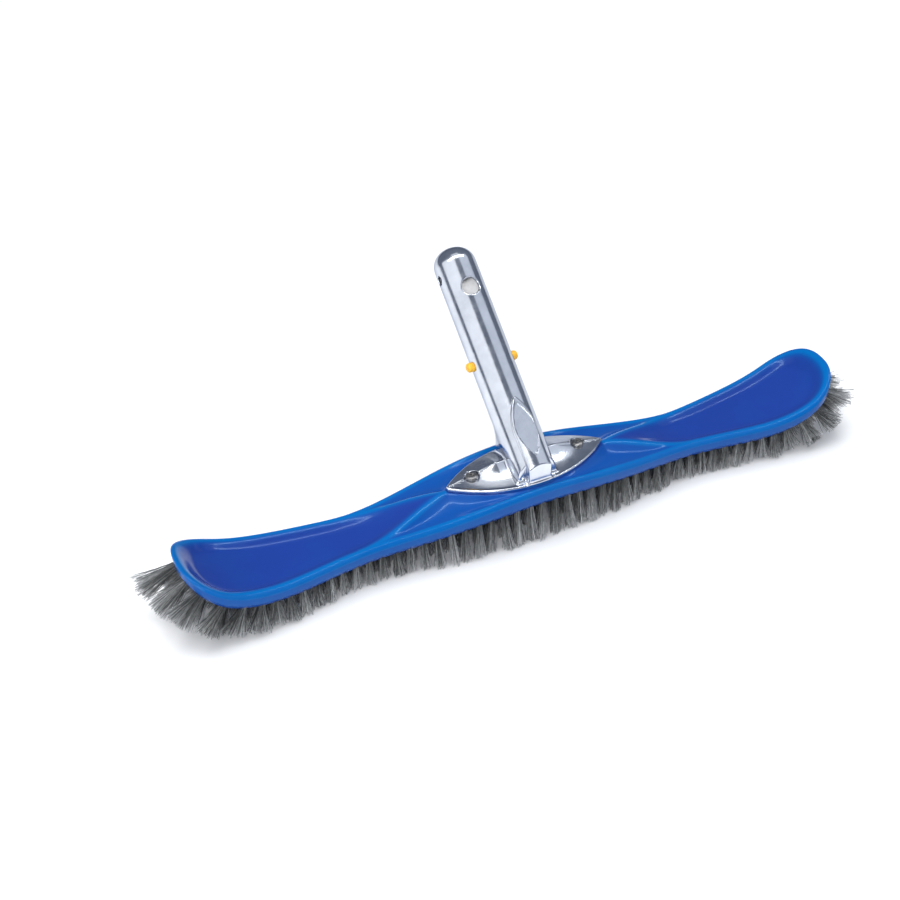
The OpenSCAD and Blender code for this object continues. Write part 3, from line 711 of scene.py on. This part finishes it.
def cast_metal():
    m, nt, b = new_mat("polished_cast_aluminium")
    n1 = noise(nt, 60, 4, 0.6)
    col = ramp(nt, n1.outputs["Fac"], [(0.3, (0.60, 0.63, 0.69)), (0.7, (0.74, 0.77, 0.83))])
    nt.links.new(col, b.inputs["Base Color"])
    inner = node(nt, "ShaderNodeAttribute", attribute_name="inner")
    nt.links.new(remap(nt, inner.outputs["Fac"], 0, 1, 1.0, 0.0), b.inputs["Metallic"])
    lit = node(nt, "ShaderNodeMix", data_type="RGBA")
    nt.links.new(inner.outputs["Fac"], lit.inputs[0]); nt.links.new(col, lit.inputs[6]); lit.inputs[7].default_value = (0.40, 0.41, 0.42, 1)
    # painted light: near-white colour and a faint emission in the patch behind the cross hole, standing in for light
    # seen through the hole
    painted_bore_glow = node(nt, "ShaderNodeAttribute", attribute_name="painted_bore_glow")
    lit2 = node(nt, "ShaderNodeMix", data_type="RGBA")
    nt.links.new(painted_bore_glow.outputs["Fac"], lit2.inputs[0]); nt.links.new(lit.outputs[2], lit2.inputs[6]); lit2.inputs[7].default_value = (0.93, 0.94, 0.96, 1)
    nt.links.new(lit2.outputs[2], b.inputs["Base Color"])
    b.inputs["Emission Color"].default_value = (1, 1, 1, 1)
    nt.links.new(remap(nt, painted_bore_glow.outputs["Fac"], 0, 1, 0.0, 0.30), b.inputs["Emission Strength"])
    b.inputs["Specular Tint"].default_value = (0.46, 0.48, 0.53, 1)
    n2 = noise(nt, 170, 5, 0.65)
    rg = node(nt, "ShaderNodeMath", operation="MULTIPLY_ADD")
    nt.links.new(inner.outputs["Fac"], rg.inputs[0]); rg.inputs[1].default_value = 0.6
    nt.links.new(remap(nt, n2.outputs["Fac"], 0.3, 0.75, 0.12, 0.24), rg.inputs[2])
    nt.links.new(rg.outputs[0], b.inputs["Roughness"])
    n3 = noise(nt, 90, 3, 0.5)
    n4 = noise(nt, 900, 3, 0.6)
    # fine polishing lines along the spigot
    n5 = noise(nt, 1.0, 2, 0.5, coord=((2600, 2600, 60), (LEAN, 0, 0)))
    add = node(nt, "ShaderNodeMath", operation="MULTIPLY_ADD")
    nt.links.new(n4.outputs["Fac"], add.inputs[0]); add.inputs[1].default_value = 0.10
    nt.links.new(n3.outputs["Fac"], add.inputs[2])
    add2 = node(nt, "ShaderNodeMath", operation="MULTIPLY_ADD")
    nt.links.new(n5.outputs["Fac"], add2.inputs[0]); add2.inputs[1].default_value = 0.05
    nt.links.new(add.outputs[0], add2.inputs[2])
    bump(nt, b, add2.outputs[0], 0.12, 0.0006)
    return m
def wire_metal():
    m, nt, b = new_mat("crimped_steel_wire")
    s = node(nt, "ShaderNodeAttribute", attribute_name="shade")
    a = node(nt, "ShaderNodeAttribute", attribute_name="along")
    # painted shade and light: the along value darkens each wire towards its root, inside the tuft and under the block,
    # and lightens it towards the tip; the shade value is a random tone per wire
    ms = node(nt, "ShaderNodeMath", operation="MULTIPLY_ADD")
    nt.links.new(a.outputs["Fac"], ms.inputs[0]); ms.inputs[1].default_value = 0.58
    nt.links.new(remap(nt, s.outputs["Fac"], 0, 1, -0.08, 0.54), ms.inputs[2])
    n1 = noise(nt, 500, 2)
    ad = node(nt, "ShaderNodeMath", operation="ADD")
    nt.links.new(ms.outputs[0], ad.inputs[0])
    nt.links.new(remap(nt, n1.outputs["Fac"], 0.3, 0.7, -0.08, 0.08), ad.inputs[1])
    col = ramp(nt, ad.outputs[0], [(0.0, (0.030, 0.032, 0.030)), (0.40, (0.15, 0.155, 0.155)), (0.75, (0.48, 0.49, 0.49)), (1.0, (0.80, 0.80, 0.81))])
    nt.links.new(col, b.inputs["Base Color"])
    b.inputs["Metallic"].default_value = 0.6
    nt.links.new(remap(nt, n1.outputs["Fac"], 0.3, 0.7, 0.32, 0.5), b.inputs["Roughness"])
    return m
def steel(name, c0, c1, r0, r1, scale=300):
    m, nt, b = new_mat(name)
    n1 = noise(nt, scale, 4, 0.6)
    nt.links.new(ramp(nt, n1.outputs["Fac"], [(0.3, c0), (0.7, c1)]), b.inputs["Base Color"])
    b.inputs["Metallic"].default_value = 1.0
    nt.links.new(remap(nt, n1.outputs["Fac"], 0.3, 0.7, r0, r1), b.inputs["Roughness"])
    n2 = noise(nt, scale * 6, 3, 0.6)
    bump(nt, b, n2.outputs["Fac"], 0.15, 0.0002)
    return m
def yellow_plastic():
    m, nt, b = new_mat("yellow_nylon")
    n1 = noise(nt, 260, 3)
    nt.links.new(ramp(nt, n1.outputs["Fac"], [(0.3, (0.88, 0.42, 0.02)), (0.7, (1.0, 0.56, 0.05))]), b.inputs["Base Color"])
    nt.links.new(remap(nt, n1.outputs["Fac"], 0.3, 0.7, 0.26, 0.4), b.inputs["Roughness"])
    b.inputs["Subsurface Weight"].default_value = 0.1
    b.inputs["Subsurface Radius"].default_value = (0.002, 0.001, 0.0004)
    n2 = noise(nt, 1200, 3)
    bump(nt, b, n2.outputs["Fac"], 0.15, 0.0002)
    return m
M_BLUE, M_CAST, M_WIRE, M_YEL = blue_plastic(), cast_metal(), wire_metal(), yellow_plastic()
M_SCREW = steel("screw_steel", (0.20, 0.20, 0.20), (0.38, 0.37, 0.36), 0.25, 0.42)
M_SPRING = steel("spring_strip", (0.55, 0.56, 0.57), (0.72, 0.73, 0.74), 0.22, 0.34, 150)
M_STAPLE = steel("staple_wire", (0.50, 0.47, 0.38), (0.68, 0.64, 0.54), 0.3, 0.45)

def dress(o, mat):
    o.data.materials.clear()
    o.data.materials.append(mat)
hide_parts("brush_back")
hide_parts("handle_casting")
dress(back, M_BLUE); dress(cast, M_CAST)
for o in wire_objs: dress(o, M_WIRE)
for o in (scr_l, scr_r): dress(o, M_SCREW)
for o in (spr_l, spr_r): dress(o, M_SPRING)
for o in (btn_l, btn_r): dress(o, M_YEL)
for n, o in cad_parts.items():
    if n.startswith("staples"): dress(o, M_STAPLE)

for o in [back, cast, scr_l, scr_r] + wire_objs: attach(o, "brush")
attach(btn_l, "left_button"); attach(btn_r, "right_button")
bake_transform(spr_l)
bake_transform(spr_r)

# ------------------------------------------------------------------ studio
bpy.ops.mesh.primitive_plane_add(size=14, location=(0, 0, -0.0003))
floor = bpy.context.object
floor.name = "studio_floor"
fm, nt, b = new_mat("pale_floor")
b.inputs["Base Color"].default_value = (0.93, 0.93, 0.93, 1)
b.inputs["Roughness"].default_value = 0.9
b.inputs["Specular IOR Level"].default_value = 0.1
floor.data.materials.append(fm)

def area(name, loc, target, size, size_y, power, colour=(1, 1, 1)):
    d = bpy.data.lights.new(name, "AREA")
    d.shape = "RECTANGLE"; d.size = size; d.size_y = size_y; d.energy = power; d.color = colour
    o = bpy.data.objects.new(name, d)
    bpy.context.scene.collection.objects.link(o)
    o.location = loc
    o.rotation_euler = (Vector(target) - Vector(loc)).to_track_quat("-Z", "Y").to_euler()
    return o
def softbox(name, rho, dist, width, length, radiance, colour=(1, 1, 1)):
    """a soft box round the spigot's axis, rho degrees from its front, with its long side along the spigot"""
    t = Vector((0, TY, TZ)); f = Vector((0, -TZ, TY)); x = Vector((1, 0, 0))
    z = (f * math.cos(math.radians(rho)) + x * math.sin(math.radians(rho)) + t * 0.12).normalized()
    y = (t - z * t.dot(z)).normalized()
    o = area(name, Vector((0, 0.04, 0.09)) + z * dist, (0, 0.04, 0.09), width, length, radiance * math.pi * width * length, colour)
    o.rotation_euler = Matrix((y.cross(z), y, z)).transposed().to_euler()
    return o
softbox("left_box", -49, 1.5, 2.1, 1.9, 0.92)
softbox("right_box", 39, 1.5, 1.35, 1.9, 0.60, (0.88, 0.93, 1.0))
strip = area("top_strip", (0.0, 0.02, 1.8), (0, 0, 0), 2.8, 0.12, 15 * math.pi * 0.336)
strip.rotation_euler = (0, 0, 0)
strip.visible_diffuse = False
panel = area("zenith_panel", (0.12, 0.3, 2.3), (0, 0, 0), 1.3, 1.3, 0.55 * math.pi * 1.69)
panel.rotation_euler = (0, 0, 0)
sun = bpy.data.lights.new("overhead", "SUN")
sun.energy, sun.angle = 2.3, math.radians(60)
sun_o = bpy.data.objects.new("overhead", sun)
bpy.context.scene.collection.objects.link(sun_o)
sun_o.rotation_euler = Vector((0.10, -0.22, -1.0)).to_track_quat("-Z", "Y").to_euler()
sun_o.visible_glossy = False
area("front_spot", Vector((-0.3565, -0.6969, 0.70)) * 1.6, (0, 0.03, 0.08), 0.5, 0.5, 11 * math.pi * 0.25)

world = bpy.data.worlds.new("studio_world")
bpy.context.scene.world = world
world.use_nodes = True
bg = world.node_tree.nodes["Background"]
bg.inputs["Color"].default_value = (0.62, 0.72, 0.92, 1)
bg.inputs["Strength"].default_value = 0.25

# ------------------------------------------------------------------ camera
AZ, EL, DIST = math.radians(-27.0912), math.radians(38.4893), 0.93679
target = Vector((0, 0, 0.0465))
back_dir = Vector((math.sin(AZ) * math.cos(EL), -math.cos(AZ) * math.cos(EL), math.sin(EL)))
cam_data = bpy.data.cameras.new("camera")
cam = bpy.data.objects.new("camera", cam_data)
bpy.context.scene.collection.objects.link(cam)
cam.location = target + back_dir * DIST
cam.rotation_euler = (-back_dir).to_track_quat("-Z", "Y").to_euler()
cam_data.sensor_width = 36
cam_data.lens = 1472.07 / 900 * 36
cam_data.shift_x = -(525.29 - 450) / 900
cam_data.shift_y = (456.91 - 450) / 900
cam_data.clip_start = 0.02
cam_data.clip_end = 40
bpy.context.scene.camera = cam
bpy.context.scene.view_settings.view_transform = "Standard"
